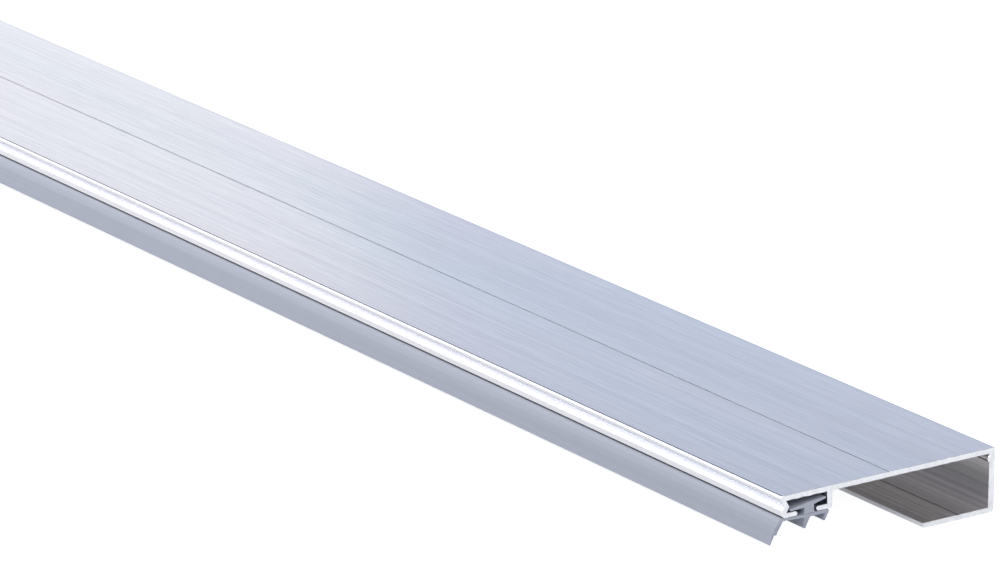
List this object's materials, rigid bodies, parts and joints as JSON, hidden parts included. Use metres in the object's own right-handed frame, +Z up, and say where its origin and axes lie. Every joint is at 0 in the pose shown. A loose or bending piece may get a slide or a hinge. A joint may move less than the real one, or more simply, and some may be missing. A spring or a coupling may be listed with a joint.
{
  "type": "aluminium edge cover profile with rubber seal",
  "caption": "Straight length of extruded aluminium edge profile, C-shaped in section, that closes a roof sheet's edge, with a rubber seal strip in a T-slot along its open side.",
  "frame": {"origin": "under the middle of the bounding box, at the level of the lower flange's underside", "axes": "+Y along the stock, +Z up through the top plate, +X from the seal side to the upright wall"},
  "size_m": [0.0846, 2, 0.021],
  "materials": {
    "aluminium": "mill finish, with fine lines along the length",
    "rubber": "matt grey"
  },
  "bodies": {
    "root": {"cover_profile": "aluminium", "seal_strip": "rubber"}
  },
  "joints": []
}
